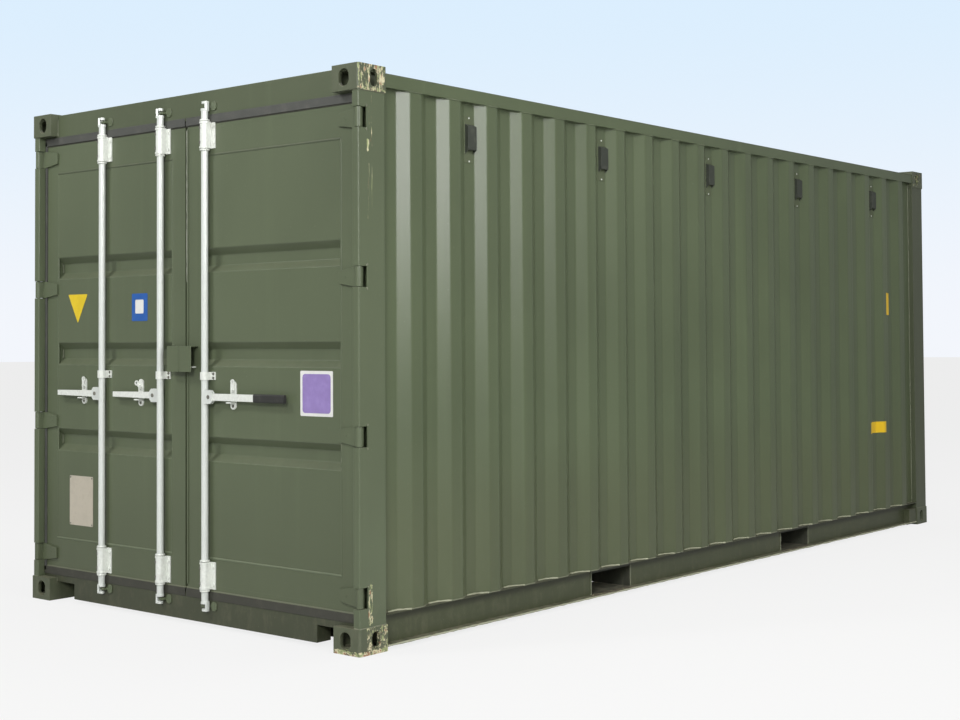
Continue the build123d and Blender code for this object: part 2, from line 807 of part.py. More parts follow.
door_sets = (
    ("left_door", 1, [(y, s) for _, y, s in bar_places if y > 0]),
    ("right_door", -1, [(y, s) for _, y, s in bar_places if y < 0]))
for door_name, y_sign, bars in door_sets:
    save(leaf_frame(y_sign), f"{door_name}_frame")
    save(leaf_panel(y_sign), f"{door_name}_panel")
    save(leaf_seal(y_sign), f"{door_name}_seal")
    save(hinge_blades(y_sign), f"{door_name}_hinge_blades")
    save(door_brackets([y for y, _ in bars]), f"{door_name}_bar_brackets")
    save(lock_box(y_sign), f"{door_name}_lock_box")
    save(handle_retainers(bars), f"{door_name}_handle_retainers")


# Cams: forgings on the ends of the rods, two prongs joined by a curved back
def bar_cams(bar_y, side):
    back_angle = 90 * side - cam_half_angle
    wedge = [(bar_x, bar_y)]
    for angle in (back_angle, back_angle + 2 * cam_half_angle):
        wedge.append((bar_x + 2 * cam_outer * math.cos(math.radians(angle)),
                      bar_y + 2 * cam_outer * math.sin(math.radians(angle))))
    with BuildPart() as cams:
        for level, z_sign in zip(cam_levels, (-1, 1)):
            with BuildSketch(Plane.XY.offset(level - cam_half_gap - cam_prong)):
                with Locations((bar_x, bar_y)):
                    disc(cam_outer)
                    disc(cam_inner, Mode.SUBTRACT)
                with BuildLine():
                    Polyline(wedge, close=True)
                make_face(mode=Mode.INTERSECT)
            extrude(amount=2 * (cam_half_gap + cam_prong))
            for prong_sign, radius in ((z_sign, cam_prong_radius), (-z_sign, cam_socket_radius)):
                prong_low = level + prong_sign * (cam_half_gap + cam_prong / 2) - cam_prong / 2
                with BuildSketch(Plane.XY.offset(prong_low)):
                    with Locations((bar_x, bar_y)):
                        disc(radius)
                extrude(amount=cam_prong)
    return cams


# Lock bars: the rod between its cams, with the hub that carries the handle
def lock_bar(bar_y, side):
    bar_bottom = cam_levels[0] + cam_half_gap + cam_prong
    bar_top = cam_levels[1] - cam_half_gap - cam_prong
    with BuildPart() as bar:
        with Locations((bar_x, bar_y, (bar_bottom + bar_top) / 2)):
            Cylinder(bar_radius, bar_top - bar_bottom)
        for x_sign in (-1, 1):
            plate_x = handle_x + x_sign * (handle_thickness / 2 + handle_play + hub_plate / 2)
            with BuildSketch(Plane.YZ.offset(plate_x - hub_plate / 2)):
                with BuildLine():
                    Polyline([(bar_y, handle_level - hub_height / 2),
                              (bar_y + side * (hub_reach - hub_bevel), handle_level - hub_height / 2),
                              (bar_y + side * hub_reach, handle_level - hub_height / 2 + hub_bevel),
                              (bar_y + side * hub_reach, handle_level + hub_height / 2 - hub_bevel),
                              (bar_y + side * (hub_reach - hub_bevel), handle_level + hub_height / 2),
                              (bar_y, handle_level + hub_height / 2)], close=True)
                make_face()
            extrude(amount=hub_plate)
        rivet_place = (handle_x, bar_y + side * rivet_offset, handle_level)
        with Locations(Location(rivet_place, (0, 90, 0))):
            Cylinder(rivet_radius, handle_thickness + 2 * handle_play)
    return bar


# Handles: tapered flat bars that lift on their rivet
def handle(bar_y, side, reach, tip_height):
    rivet_y = bar_y + side * rivet_offset
    root_y = rivet_y - side * handle_height / 2
    tip_y = bar_y + side * reach
    with BuildPart() as lever:
        with BuildSketch(Plane.YZ.offset(handle_x - handle_thickness / 2)):
            with BuildLine():
                Polyline([(root_y, handle_level - handle_height / 2),
                          (tip_y, handle_level - tip_height / 2),
                          (tip_y, handle_level + tip_height / 2),
                          (root_y, handle_level + handle_height / 2)], close=True)
            make_face()
            with Locations((rivet_y, handle_level)):
                disc(rivet_radius + handle_play, Mode.SUBTRACT)
        extrude(amount=handle_thickness)
    return lever


# Catches: short levers with a ring, pinned to the retainers behind the handles
def catch(bar_y, side, angle):
    centre = bar_y + side * retainer_offset
    ring_rise = catch_length - catch_ring
    with BuildPart() as lever:
        with BuildSketch(Plane.YZ.offset(leaf_x - retainer_plate - catch_play)):
            with Locations(Location((centre, handle_level + catch_pin_rise, 0), (0, 0, -side * angle))):
                with Locations((0, ring_rise / 2)):
                    Rectangle(catch_neck, ring_rise)
                disc(catch_width / 2)
                with Locations((0, ring_rise)):
                    disc(catch_ring)
                    disc(catch_hole, Mode.SUBTRACT)
                disc(catch_pin_radius + handle_play, Mode.SUBTRACT)
        extrude(amount=-catch_thickness)
    return lever


for bar_name, bar_y, side in bar_places:
    save(lock_bar(bar_y, side), f"{bar_name}_lock_bar")
    save(bar_cams(bar_y, side), f"{bar_name}_cams")
    is_right = bar_name == "right"
    reach = right_handle_bar if is_right else handle_length
    tip = handle_height if is_right else handle_tip_height
    save(handle(bar_y, side, reach, tip), f"{bar_name}_handle")
    opened = catch_open_angle if bar_name == "inner_left" else 0.0
    save(catch(bar_y, side, opened), f"{bar_name}_catch")

# Rubber grip over the end of the right handle
with BuildPart() as handle_grip:
    grip_plane = Plane.XZ.offset(inner_bar_offset + grip_start)
    with BuildSketch(grip_plane):
        with Locations((handle_x, handle_level)):
            add(rounded_section(grip_thickness, grip_height, grip_round))
    extrude(amount=grip_length)
    with BuildSketch(grip_plane):
        with Locations((handle_x, handle_level)):
            Rectangle(handle_thickness, handle_height)
    extrude(amount=right_handle_bar - grip_start, mode=Mode.SUBTRACT)
save(handle_grip, "right_handle_grip")
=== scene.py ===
import json
import math
import random

import bmesh
import bpy
from mathutils import Matrix, Vector

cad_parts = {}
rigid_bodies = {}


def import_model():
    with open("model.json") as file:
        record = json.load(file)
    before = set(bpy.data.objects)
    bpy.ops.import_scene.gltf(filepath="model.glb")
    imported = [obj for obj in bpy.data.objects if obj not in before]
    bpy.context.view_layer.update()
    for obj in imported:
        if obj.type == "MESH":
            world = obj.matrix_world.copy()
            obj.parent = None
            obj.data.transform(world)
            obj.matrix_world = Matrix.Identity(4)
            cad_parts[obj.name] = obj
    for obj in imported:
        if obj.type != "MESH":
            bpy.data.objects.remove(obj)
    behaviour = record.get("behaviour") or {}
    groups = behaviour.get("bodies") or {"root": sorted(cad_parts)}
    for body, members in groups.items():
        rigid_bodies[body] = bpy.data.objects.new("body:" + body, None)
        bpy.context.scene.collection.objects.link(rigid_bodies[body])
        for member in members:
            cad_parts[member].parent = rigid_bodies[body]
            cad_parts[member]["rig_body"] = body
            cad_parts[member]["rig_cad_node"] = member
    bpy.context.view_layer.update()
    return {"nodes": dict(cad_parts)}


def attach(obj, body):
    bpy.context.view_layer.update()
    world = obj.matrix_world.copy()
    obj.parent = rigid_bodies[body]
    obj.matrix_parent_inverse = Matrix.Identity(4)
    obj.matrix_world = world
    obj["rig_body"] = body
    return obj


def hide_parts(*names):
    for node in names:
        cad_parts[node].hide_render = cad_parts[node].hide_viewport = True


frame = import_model()
nodes = frame["nodes"]
random.seed(20)

# Camera, solved from the castings' corners in the photograph
camera_place = Vector((-7.7467, -5.7503, 1.3780))
heading, pitch, roll = (math.radians(angle) for angle in (40.167, 1.629, -0.306))
ahead = Vector((math.cos(pitch) * math.cos(heading), math.cos(pitch) * math.sin(heading),
                math.sin(pitch)))
level_right = Vector((math.sin(heading), -math.cos(heading), 0))
level_up = level_right.cross(ahead)
right = level_right * math.cos(roll) + level_up * math.sin(roll)
up = level_up * math.cos(roll) - level_right * math.sin(roll)
bpy.ops.object.camera_add(location=camera_place)
camera = bpy.context.object
camera.rotation_euler = Matrix((right, up, -ahead)).transposed().to_euler()
camera.data.lens = 1500.4 / 960 * 36
camera.data.shift_x = (480 - 455.2) / 960
camera.data.shift_y = (295.8 - 360) / 960
camera.data.clip_end = 400
bpy.context.scene.camera = camera


# Shader work: a wire carries a socket's value, and sums on wires become nodes
class Wire:
    def __init__(self, tree, socket):
        self.tree = tree
        self.socket = socket

    def through(self, kind, settings, sockets, output=0):
        node = self.tree.nodes.new("ShaderNode" + kind)
        for name, value in settings.items():
            setattr(node, name, value)
        for name, value in sockets.items():
            if isinstance(value, Wire):
                self.tree.links.new(value.socket, node.inputs[name])
            else:
                node.inputs[name].default_value = value
        return Wire(self.tree, node.outputs[output])

    def sum(self, operation, first, second):
        return self.through("Math", {"operation": operation}, {0: first, 1: second})

    def __add__(self, other):
        return self.sum("ADD", self, other)

    def __sub__(self, other):
        return self.sum("SUBTRACT", self, other)

    def __rsub__(self, other):
        return self.sum("SUBTRACT", other, self)

    def __mul__(self, other):
        return self.sum("MULTIPLY", self, other)

    __radd__ = __add__
    __rmul__ = __mul__

    def clamp(self):
        return self.through("Clamp", {}, {"Value": self})

    def step(self, low, high):
        sockets = {"Value": self, "From Min": low, "From Max": high}
        return self.through("MapRange", {"interpolation_type": "SMOOTHSTEP"}, sockets)

    def within(self, low, high, soft):
        return self.step(low - soft, low + soft) * (1 - self.step(high - soft, high + soft))

    def noise(self, scale, stretch=(1, 1, 1), detail=3.0, rough=0.55):
        place = self.through("Mapping", {}, {"Vector": self, "Scale": stretch})
        sockets = {"Vector": place, "Scale": scale, "Detail": detail, "Roughness": rough}
        return self.through("TexNoise", {}, sockets)

    def axis(self, name):
        return self.through("SeparateXYZ", {}, {"Vector": self}, "XYZ".index(name))

    def blend(self, first, second):
        return self.through("Mix", {"data_type": "RGBA"}, {0: self, 6: first, 7: second}, 2)


def rgb(red, green, blue):
    return tuple((v / 255 / 12.92 if v <= 10 else ((v / 255 + 0.055) / 1.055) ** 2.4)
                 for v in (red, green, blue)) + (1.0,)


def shade(colour, amount):
    return tuple(v * amount for v in colour[:3]) + (1.0,)


def new_finish(name):
    finish = bpy.data.materials.new(name)
    finish.use_nodes = True
    tree = finish.node_tree
    coordinates = tree.nodes.new("ShaderNodeTexCoord")
    place = Wire(tree, coordinates.outputs["Object"])
    return finish, tree.nodes["Principled BSDF"], place, Wire(tree, coordinates.outputs["Normal"])


def feed(shader, socket, value):
    if isinstance(value, Wire):
        value.tree.links.new(value.socket, shader.inputs[socket])
    else:
        shader.inputs[socket].default_value = value


def relief(shader, place, height, depth):
    feed(shader, "Normal", place.through("Bump", {}, {"Height": height, "Distance": depth}))


# A patch of space, soft at its sides
def region(place, low, high, soft):
    mask = None
    for letter, low_side, high_side in zip("XYZ", low, high):
        band = place.axis(letter).within(low_side, high_side, soft)
        mask = band if mask is None else mask * band
    return mask


# Olive paint on steel, with clouds, runs, dust on ledges, rubbed or rusty patches, and films that lay printed
# marks and bands of painted shade
def green_paint(name, base, gloss=0.3, dust=0.35, ledges=0.75, rubbed=(), films_and_painted_shade=()):
    finish, shader, place, facing = new_finish(name)
    cloud = place.noise(0.8, detail=4)
    runs = place.noise(1.0, (11, 11, 0.4), detail=4)
    colour = cloud.step(0.3, 0.7).blend(shade(base, 0.9), shade(base, 1.06))
    colour = (runs.step(0.5, 0.78) * 0.45).blend(colour, shade(base, 1.22))
    grit = place.noise(26, (1, 1, 0.5), detail=6, rough=0.7)
    ledge = facing.axis("Z").step(0.25, 0.8) * grit.step(0.3, 0.62)
    splash = (1 - place.axis("Z").step(0.03, 0.42)) * grit.step(0.46, 0.68)
    dirt = (ledge * ledges + splash * 0.22 + grit.step(0.6, 0.8) * dust * 0.5).clamp()
    colour = (dirt * 0.6).blend(colour, rgb(134, 130, 108))
    rough = gloss + cloud * 0.06 + dirt * 0.3
    chips = place.noise(120, detail=2).step(0.72, 0.76)
    colour = (chips * 0.3).blend(colour, rgb(150, 148, 128))
    for low, high, soft, amount, scale, stretch in rubbed:
        mask = region(place, low, high, soft)
        patch = (place.noise(scale, stretch, detail=6, rough=0.72) + mask * amount).step(0.99, 1.05)
        tone = place.noise(scale * 0.8, stretch, detail=4)
        bare = tone.step(0.44, 0.52).blend(rgb(150, 158, 112), rgb(206, 198, 164))
        bare = tone.step(0.55, 0.64).blend(bare, rgb(152, 110, 82))
        colour = patch.blend(colour, bare)
        rough = rough + patch * 0.25
    # Films lay a tint over a patch: printed marks, and bands of painted shade where less light falls
    for low, high, soft, amount, tint in films_and_painted_shade:
        colour = (region(place, low, high, soft) * amount).blend(colour, tint)
    feed(shader, "Base Color", colour)
    feed(shader, "Roughness", rough.clamp())
    relief(shader, place, place.noise(380, detail=2) * 0.03 + place.noise(2.2, detail=2), 0.0011)
    return finish


# Hot-dip zinc, pale with a fine spangle and a little grime
def zinc(name, base, rough=0.38, metal=0.0, dirt=0.4, pitted=0.0002):
    finish, shader, place, _ = new_finish(name)
    spangle = place.noise(70, detail=3)
    grime = place.noise(16, (1, 1, 0.5), detail=6, rough=0.7).step(0.56, 0.76)
    colour = spangle.step(0.35, 0.65).blend(shade(base, 0.92 if pitted else 0.97), base)
    colour = (grime * dirt).blend(colour, rgb(138, 132, 116))
    feed(shader, "Base Color", colour)
    feed(shader, "Metallic", metal)
    feed(shader, "Roughness", (rough + spangle * 0.04 + grime * 0.2).clamp())
    if pitted:
        relief(shader, place, place.noise(260, detail=2), pitted)
    return finish


# Rubber, vent plastic, sticker film and bolt steel: one colour, with dust in its grain
def grained(name, base, rough, dust, dust_colour, grain=300, painted=None):
    finish, shader, place, _ = new_finish(name)
    cloud = place.noise(18, detail=5, rough=0.65)
    colour = cloud.step(0.3, 0.7).blend(shade(base, 0.88), base)
    colour = (cloud.step(0.5, 0.75) * dust).blend(colour, dust_colour)
    if painted:
        colour = (place.axis("Y") * place.axis("Y")).step(1.1822 ** 2, 1.1830 ** 2).blend(painted, colour)
    feed(shader, "Base Color", colour)
    feed(shader, "Roughness", (rough + cloud * 0.12).clamp())
    relief(shader, place, place.noise(grain, detail=2), 0.0002)
    return finish


# Hardwood plywood boards with tarred joints
def plywood(name):
    finish, shader, place, _ = new_finish(name)
    grain = place.noise(9, (1, 14, 14), detail=6)
    seam = place.through("Math", {"operation": "PINGPONG"}, {0: place.axis("Y"), 1: 0.29})
    joint = 1 - seam.step(0.002, 0.006)
    scuff = place.noise(3, (1, 4, 1), detail=5).step(0.55, 0.8)
    colour = grain.step(0.3, 0.7).blend(rgb(112, 66, 40), rgb(158, 102, 66))
    colour = (scuff * 0.4).blend(colour, rgb(150, 128, 104))
    colour = joint.blend(colour, rgb(34, 30, 28))
    feed(shader, "Base Color", colour)
    feed(shader, "Roughness", (0.5 + scuff * 0.25).clamp())
    relief(shader, place, grain * 0.3 - joint, 0.0015)
    return finish


olive = rgb(88, 97, 74)
side_olive = rgb(84, 94, 69)
yellow = rgb(232, 190, 30)
# Painted shade: the walls darker towards the bottom, where less light reaches
painted_low_shade = ((-3.2, -1.5, -0.4), (3.2, 1.5, 0.7), 0.35, 0.45, rgb(82, 86, 60))
wall_paint = green_paint("wall_paint", side_olive, 0.27, 0.2, films_and_painted_shade=[painted_low_shade])
marked_paint = green_paint(
    "marked_paint", side_olive, 0.27, 0.2,
    films_and_painted_shade=[painted_low_shade,
           ((2.38, -1.3, 1.529), (2.498, -1.1, 1.686), 0.0004, 1, yellow),
           ((2.107, -1.3, 0.699), (2.352, -1.1, 0.776), 0.0004, 1, yellow)])
frame_paint = green_paint("frame_paint", olive, 0.36, 0.35)
# Rail paint darker than the walls as painted shade, with a band of painted shadow along the rail's top under
# the wall's overhang; the rubbed patch is wear
shaded_rail_paint = green_paint(
    "shaded_rail_paint", rgb(69, 74, 52), 0.38, 0.2, 1.3,
    rubbed=[((-1.25, -1.23, 0.0), (-0.85, -1.0, 0.17), 0.03, 0.32, 34, (1, 1, 1))],
    films_and_painted_shade=[((-3.2, -1.5, 0.122), (3.2, 1.5, 0.3), 0.014, 0.7, rgb(56, 58, 42))])
# Sill paint darker than the door paint as painted shade
shaded_sill_paint = green_paint("shaded_sill_paint", rgb(63, 67, 50), 0.4, 0.2)
# Door paint, darker towards the bottom as painted shade
door_paint_low_shade = green_paint(
    "door_paint_low_shade", olive, 0.34, 0.3, 0.2,
    films_and_painted_shade=[((-3.5, -1.5, -0.4), (-2.5, 1.5, 0.62), 0.3, 0.6, rgb(79, 86, 64))])
# Far end frame paint darker than the door end as painted shade
shaded_far_paint = green_paint("shaded_far_paint", rgb(76, 82, 62), 0.36, 0.35)
# Header paint darker than the posts as painted shade
shaded_header_paint = green_paint("shaded_header_paint", rgb(82, 90, 68), 0.34, 0.3)
under_paint = green_paint("under_paint", rgb(56, 58, 48), 0.55, 0.6)
rusty_paint = green_paint(
    "rusty_paint", rgb(84, 76, 62), 0.6, 0.9,
    rubbed=[((-3.0, -1.3, -0.1), (3.0, 1.3, 0.2), 0.01, 0.44, 40, (1, 1, 1))])
weld_paint = green_paint("weld_paint", rgb(112, 116, 96), 0.45, 0.9)
# Pale paint for the wall foot's ledges and the rail's lower lip: painted highlight where light falls on them
ledge_highlight_paint = green_paint("ledge_highlight_paint", rgb(164, 166, 142), 0.5, 0.9)
lip_paint = green_paint("lip_paint", rgb(98, 107, 84), 0.4, 0.4, 0.3)
# A darker joint bead whose dark tone is painted shadow
seam_shadow_paint = green_paint("seam_shadow_paint", rgb(76, 84, 64), 0.5, 0.2)
casting_paint = green_paint(
    "casting_paint", rgb(82, 88, 68), 0.4, 0.5, 0.75,
    rubbed=[((-3.035, -1.23, 2.47), (-2.85, -1.205, 2.60), 0.012, 0.475, 90, (1, 1, 0.3)),
            ((-2.93, -1.23, 2.50), (-2.85, -1.205, 2.60), 0.010, 0.50, 60, (1, 1, 0.3)),
            ((-3.03, -1.23, 2.47), (-2.85, -1.205, 2.49), 0.006, 0.52, 90, (1, 1, 1)),
            ((-2.90, -1.24, 0.085), (-2.84, -1.19, 0.14), 0.012, 0.50, 60, (1, 1, 1)),
            ((-2.99, -1.24, -0.01), (-2.84, -1.19, 0.14), 0.010, 0.49, 80, (1, 1, 0.6)),
            ((-3.04, -1.24, -0.02), (-2.84, -1.04, 0.024), 0.008, 0.57, 56, (1, 1, 1)),
            ((2.85, -1.23, 2.46), (3.04, -1.05, 2.60), 0.02, 0.48, 50, (1, 1, 1)),
            ((-3.035, 1.05, -0.01), (-2.85, 1.23, 0.03), 0.02, 0.5, 40, (1, 1, 1))])
post_paint = green_paint(
    "post_paint", olive, 0.33, 0.3, 0.75,
    rubbed=[((-2.965, -1.22, 2.20), (-2.925, -1.20, 2.47), 0.012, 0.46, 52, (2.4, 1, 0.3)),
            ((-2.972, -1.22, 2.20), (-2.952, -1.20, 2.26), 0.008, 0.62, 40, (2.0, 1, 0.7)),
            ((-2.975, -1.22, 1.90), (-2.925, -1.20, 2.16), 0.012, 0.46, 44, (3.4, 1, 0.12)),
            ((-2.975, -1.23, 0.12), (-2.935, -1.20, 0.31), 0.010, 0.515, 56, (1.6, 1, 0.6))])
zinc_coat = zinc("zinc_coat", rgb(232, 235, 228), 0.34, 0.15, 0.5)
bright_zinc = zinc("bright_zinc", rgb(220, 224, 219), 0.28, 0.2, 0.04, 0)
# Pale bead paint that stands for light catching an edge: painted highlight
edge_highlight_paint = grained("edge_highlight_paint", rgb(196, 198, 186), 0.35, 0.3, rgb(150, 150, 136))
dark_bolt = grained("dark_bolt", rgb(108, 108, 100), 0.5, 0.5, rgb(160, 156, 140))
seal_rubber = grained("seal_rubber", rgb(74, 75, 71), 0.5, 0.3, rgb(96, 95, 88))
# Darker rubber for the foot gasket, also used for a painted shadow line under the head gasket
dark_rubber_and_shadow = grained("dark_rubber_and_shadow", rgb(62, 62, 54), 0.6, 0.3, rgb(84, 82, 72))
grip_rubber = grained("grip_rubber", rgb(44, 44, 42), 0.5, 0.4, rgb(84, 84, 78))
vent_plastic = grained("vent_plastic", rgb(54, 58, 50), 0.5, 0.4, rgb(92, 94, 82), painted=rgb(84, 92, 68))
floor_boards = plywood("floor_boards")

finishes = {
    "corner_castings": casting_paint, "door_posts": post_paint, "left_wall": wall_paint,
    "right_wall": marked_paint, "front_wall": wall_paint, "roof": wall_paint,
    "bottom_side_rails": shaded_rail_paint, "top_side_rails": wall_paint, "front_": shaded_far_paint,
    "door_header": shaded_header_paint, "door_sill": shaded_sill_paint, "cross_members": under_paint,
    "fork_pockets": under_paint, "floor": floor_boards, "left_vents": vent_plastic,
    "right_vents": vent_plastic, "hinge_lugs": frame_paint, "keepers": frame_paint,
    "left_door_seal": seal_rubber, "right_door_seal": seal_rubber,
    "right_handle_grip": grip_rubber, "left_door_bar_brackets": zinc_coat,
    "right_door_bar_brackets": zinc_coat, "left_door_handle_retainers": zinc_coat,
    "right_door_handle_retainers": zinc_coat, "left_door": door_paint_low_shade, "right_door": door_paint_low_shade}


def finish_for(name):
    if name.endswith(("_lock_bar", "_cams")):
        return bright_zinc
    if name.endswith(("_handle", "_catch")):
        return zinc_coat
    return finishes[max((key for key in finishes if name.startswith(key)), key=len)]


for name, piece in nodes.items():
    for place in piece.material_slots:
        place.material = finish_for(name)


# Workshop helpers
def only(*pieces):
    bpy.ops.object.select_all(action="DESELECT")
    for piece in pieces:
        piece.select_set(True)
    bpy.context.view_layer.objects.active = pieces[0]


def apply_all(piece):
    only(piece)
    for modifier in list(piece.modifiers):
        bpy.ops.object.modifier_apply(modifier=modifier.name)


# Names a piece, settles its place in its mesh, and hangs it on its body
def settle(piece, name, node, finish, fold=35):
    only(piece)
    bpy.ops.object.transform_apply(location=True, rotation=True, scale=True)
    piece.name = piece.data.name = name
    piece.data.materials.clear()
    piece.data.materials.append(finish)
    bpy.ops.object.shade_smooth_by_angle(angle=math.radians(fold))
    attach(piece, nodes[node]["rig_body"])
    return piece


# A node's shape in large faces, left in edit mode; a ring keeps small ones and so its opening
def merged_copy(node):
    only(nodes[node])
    bpy.ops.object.duplicate()
    piece = bpy.context.object
    del piece["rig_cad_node"]
    bpy.ops.object.mode_set(mode="EDIT")
    bpy.ops.mesh.select_all(action="SELECT")
    bpy.ops.mesh.remove_doubles(threshold=0.00002)
    if node.endswith(("_seal", "_door_frame")):
        bpy.ops.mesh.tris_convert_to_quads()
    else:
        bpy.ops.mesh.dissolve_limited(angle_limit=math.radians(0.5))
    bpy.ops.mesh.customdata_custom_splitnormals_clear()
    return piece


# The finished copy takes the place of its CAD shape, with flat faces shaded flat
def takes_place(piece, node, fold):
    settle(piece, node + "_finished", node, finish_for(node), fold)
    faces = piece.modifiers.new("faces", "WEIGHTED_NORMAL")
    faces.keep_sharp = True
    apply_all(piece)
    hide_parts(node)


# A node's own shape with its sharp edges rounded
def rounded(node, width, steps=2, fold=40):
    piece = merged_copy(node)
    bpy.ops.object.mode_set(mode="OBJECT")
    edges = piece.modifiers.new("edges", "BEVEL")
    edges.width = width
    edges.segments = steps
    edges.limit_method = "ANGLE"
    edges.angle_limit = math.radians(fold)
    apply_all(piece)
    takes_place(piece, node, fold)


# A folded sheet with a bend radius at every fold
def folded(node, bend):
    piece = merged_copy(node)
    bpy.ops.mesh.select_all(action="DESELECT")
    mesh = bmesh.from_edit_mesh(piece.data)
    for edge in mesh.edges:
        turn = edge.calc_face_angle(0)
        edge.select = math.radians(12) < turn < math.radians(80)
    bmesh.update_edit_mesh(piece.data)
    bpy.ops.mesh.bevel(offset=bend, segments=3, profile=0.5, clamp_overlap=True)
    bpy.ops.mesh.select_all(action="SELECT")
    bpy.ops.mesh.normals_make_consistent(inside=False)
    bpy.ops.object.mode_set(mode="OBJECT")
    takes_place(piece, node, 35)


# A round strip along lines, uneven as a welder leaves it
def bead(name, node, finish, lines, radius, step=0.012, uneven=0.25, sides=1):
    bpy.ops.object.select_all(action="DESELECT")
    bpy.ops.object.add(type="CURVE")
    piece = bpy.context.object
    piece.data.dimensions = "3D"
    piece.data.bevel_depth = radius
    piece.data.bevel_resolution = sides
    piece.data.use_fill_caps = True
    for line in lines:
        spots = [Vector(line[0])]
        for start, end in zip(line, line[1:]):
            start, end = Vector(start), Vector(end)
            count = max(1, round((end - start).length / step))
            spots += [start.lerp(end, index / count) for index in range(1, count + 1)]
        run = piece.data.splines.new("POLY")
        run.points.add(len(spots) - 1)
        for point, spot in zip(run.points, spots):
            point.co = (*spot, 1)
            point.radius = 1 + random.uniform(-uneven, uneven)
    bpy.ops.object.convert(target="MESH")
    return settle(bpy.context.object, name, node, finish, 60)


# Copies of one master, each turned and placed, joined into one piece
def scatter(master, name, node, finish, places, turn=(0, -90, 0)):
    made = []
    for place in places:
        only(master)
        bpy.ops.object.duplicate()
        piece = bpy.context.object
        piece.rotation_euler = [math.radians(angle) for angle in turn]
        piece.location = place
        made.append(piece)
    only(*made)
    bpy.ops.object.join()
    return settle(bpy.context.object, name, node, finish)


# A straight strip between two corners, its edges rounded
def strip(name, node, finish, low, high, corner, steps=3):
    low, high = Vector(low), Vector(high)
    bpy.ops.object.select_all(action="DESELECT")
    bpy.ops.mesh.primitive_cube_add(size=1, location=(low + high) / 2)
    piece = bpy.context.object
    bpy.ops.transform.resize(value=high - low)
    settle(piece, name, node, finish, 60)
    edges = piece.modifiers.new("edges", "BEVEL")
    edges.width = corner
    edges.segments = steps
    edges.limit_method = "NONE"
    apply_all(piece)
    return piece


def pick(piece, test):
    mesh = bmesh.from_edit_mesh(piece.data)
    bpy.ops.mesh.select_all(action="DESELECT")
    for face in mesh.faces:
        face.select = test(face)
    mesh.select_flush_mode()
    bmesh.update_edit_mesh(piece.data)


# A hexagon bolt on a washer, standing on its foot
def hex_bolt(radius, tall):
    bpy.ops.mesh.primitive_cylinder_add(vertices=6, radius=radius, depth=tall,
                                        location=(0, 0, tall / 2 + 0.001))
    piece = bpy.context.object
    bpy.ops.object.transform_apply(location=True)
    bpy.ops.object.mode_set(mode="EDIT")
    pick(piece, lambda face: face.normal.z > 0.9)
    bpy.ops.mesh.inset(thickness=radius * 0.12)
    bpy.ops.transform.translate(value=(0, 0, tall * 0.16))
    bpy.ops.mesh.select_all(action="DESELECT")
    bpy.ops.mesh.primitive_cylinder_add(vertices=16, radius=radius * 1.45, depth=0.002,
                                        location=(0, 0, 0.0006))
    pick(piece, lambda face: face.normal.z > 0.9 and face.calc_center_median().z < 0.002)
    bpy.ops.mesh.inset(thickness=radius * 0.1)
    bpy.ops.transform.translate(value=(0, 0, 0.0004))
    bpy.ops.object.mode_set(mode="OBJECT")
    return piece


# A domed rivet head
def dome(radius, tall, sides=16):
    bpy.ops.mesh.primitive_cylinder_add(vertices=sides, radius=radius, depth=tall * 0.5,
                                        location=(0, 0, tall * 0.25))
    piece = bpy.context.object
    bpy.ops.object.transform_apply(location=True)
    bpy.ops.object.mode_set(mode="EDIT")
    pick(piece, lambda face: face.normal.z > 0.9)
    for inset, lift in ((0.22, 0.3), (0.28, 0.17)):
        bpy.ops.mesh.inset(thickness=radius * inset)
        bpy.ops.transform.translate(value=(0, 0, tall * lift))
    bpy.ops.object.mode_set(mode="OBJECT")
    return piece


# A thin plate or film on a door face, with rounded corners
def plate(name, node, finish, x, y, z, wide, tall, thick=0.0008, corner=0.006, sides=4):
    if sides == 3:
        bpy.ops.mesh.primitive_circle_add(vertices=3, radius=1, fill_type="NGON")
        bpy.ops.transform.resize(value=(wide / math.sqrt(3), tall / 1.5, 1))
        bpy.ops.object.transform_apply(scale=True)
    else:
        bpy.ops.mesh.primitive_plane_add(size=1)
        bpy.ops.transform.resize(value=(wide, tall, 1))
        bpy.ops.object.transform_apply(scale=True)
    piece = bpy.context.object
    bpy.ops.object.mode_set(mode="EDIT")
    bpy.ops.mesh.select_all(action="SELECT")
    bpy.ops.mesh.bevel(affect="VERTICES", offset=corner, segments=3)
    bpy.ops.mesh.select_all(action="SELECT")
    bpy.ops.mesh.extrude_region_move(TRANSFORM_OT_translate={"value": (0, 0, thick)})
    bpy.ops.mesh.select_all(action="SELECT")
    bpy.ops.mesh.normals_make_consistent(inside=False)
    bpy.ops.object.mode_set(mode="OBJECT")
    piece.rotation_euler = (math.radians(90), math.radians(180 if sides == 3 else 0), math.radians(-90))
    piece.location = (x, y, z)
    return settle(piece, name, node, finish)


# Sizes of the built container that the trimmings follow
skin_y = 1.213
leaf_x = -2.977
door_span = {"left_door": (0.008, 1.160), "right_door": (-1.160, -0.008)}
panel_span = {"left_door": (0.108, 1.060), "right_door": (-1.060, -0.108)}
panel_bottom, panel_top = 0.330, 2.272
recess_middles = (0.853, 1.308, 1.763)
hinge_levels = [0.248 + index * 0.702 for index in range(4)]
bars = {"outer_left": (0.640, 1, "left_door"), "inner_left": (0.168, 1, "left_door"),
        "right": (-0.168, -1, "right_door")}
housing_levels = (0.248, 2.367)
guide_level = 1.204
handle_level = 1.104
bar_x = -3.004
valley_y = 1.177
flange_y = 1.2128
wave_start, wave_pitch = -2.745, 0.278
rail_top, wall_top = 0.1615, 2.5005
wall_end = 2.850
pocket_middle, pocket_half = 1.04, 0.186
vent_start, vent_level = -2.780, 2.3295

